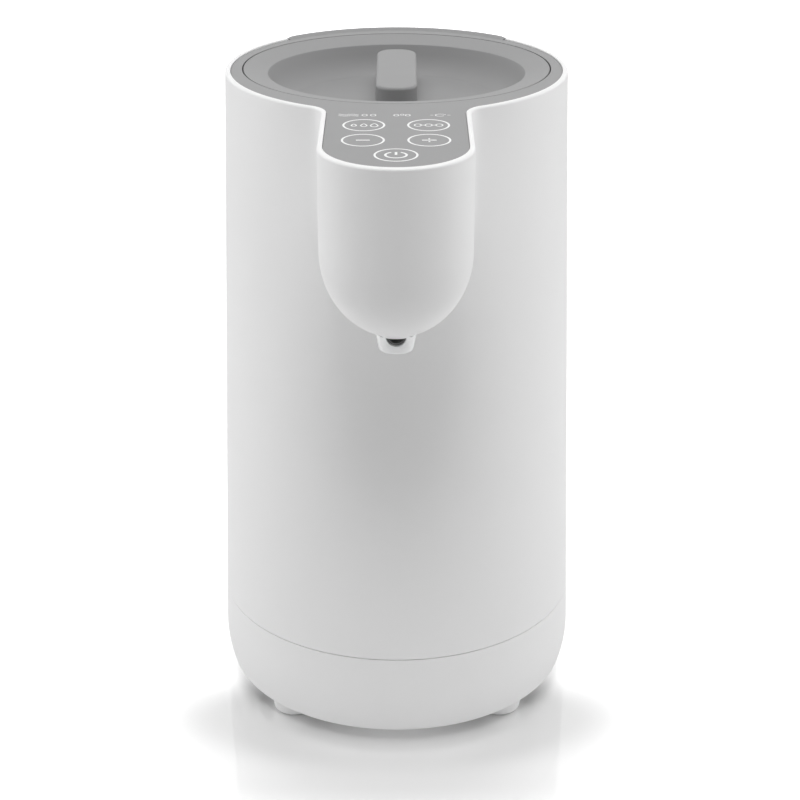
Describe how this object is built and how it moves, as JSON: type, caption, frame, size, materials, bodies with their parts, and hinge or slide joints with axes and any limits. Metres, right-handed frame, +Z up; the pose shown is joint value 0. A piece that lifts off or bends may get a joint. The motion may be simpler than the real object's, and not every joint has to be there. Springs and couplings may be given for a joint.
{
  "type": "water warmer",
  "caption": "Upright countertop water warmer: tapered round tank body, cantilevered round-nosed pouring head with touch keys, and a sunken lift-off lid.",
  "frame": {"origin": "on the surface it stands on, under the middle of its outline seen from above", "axes": "+Z up, -Y towards the user along the pouring head, +X to the right seen from the front"},
  "size_m": [0.1646, 0.2333, 0.2945],
  "materials": {
    "white_plastic": "moulded ABS, fine satin gloss",
    "grey_plastic": "moulded ABS, fine matt grain",
    "cap_plastic": "food-grade polypropylene",
    "frame_plastic": "unpainted heat-resistant nylon",
    "dark_plastic": "black heat-resistant plastic",
    "clear_plastic": "frosted, slightly see-through",
    "foot_rubber": "soft light grey rubber",
    "dark_rubber": "matt rubber",
    "silicone": "milky silicone",
    "hose_silicone": "milky silicone hose",
    "tank_steel": "deep-drawn stainless steel",
    "steel": "stainless steel",
    "aluminium": "cast, as machined",
    "brass": "plain brass",
    "circuit_board": "glass-filled board, green mask"
  },
  "bodies": {
    "housing": {"outer_shell": "white_plastic", "base_cover": "white_plastic", "foot_front_left": "foot_rubber", "foot_front_right": "foot_rubber", "foot_back_left": "foot_rubber", "foot_back_right": "foot_rubber", "top_plate": "grey_plastic", "water_tank": "tank_steel", "tank_mouth_seal": "silicone", "tank_frame": "frame_plastic", "heater_plate": "aluminium", "heating_element": "steel", "thermal_cutout": "dark_plastic", "temperature_probe": "steel", "probe_grommet": "silicone", "outlet_fitting": "steel", "outlet_seal": "silicone", "outlet_nut": "brass", "suction_hose": "hose_silicone", "pump_cover": "frame_plastic", "pump_housing": "frame_plastic", "rotor_shaft": "steel", "pump_motor": "dark_plastic", "pump_bracket": "dark_rubber", "delivery_hose": "hose_silicone", "hose_clips": "steel", "nozzle_cup": "clear_plastic", "outlet_tube": "dark_rubber", "touch_board": "circuit_board", "touch_pads": "dark_rubber", "indicator_leds": "clear_plastic", "panel_screws": "steel", "power_board": "circuit_board", "board_parts": "dark_plastic", "board_bracket": "frame_plastic", "power_inlet": "dark_plastic", "inlet_blades": "brass", "base_screws": "steel", "frame_screws": "steel"},
    "lid": {"lid_shell": "grey_plastic", "lid_handle": "grey_plastic", "lid_inner_cap": "cap_plastic", "lid_gasket": "silicone", "lid_screws": "steel"},
    "rotor": {"pump_rotor": "dark_plastic"}
  },
  "joints": [
    {"name": "lid_lift", "type": "slide", "parent": "housing", "child": "lid", "axis": [0, 0, 1], "range_m": [0, 0.08]},
    {"name": "rotor_spin", "type": "hinge", "parent": "housing", "child": "rotor", "pos_m": [0.008, 0.00489, 0.045], "axis": [1, 0, 0], "continuous": true}
  ]
}
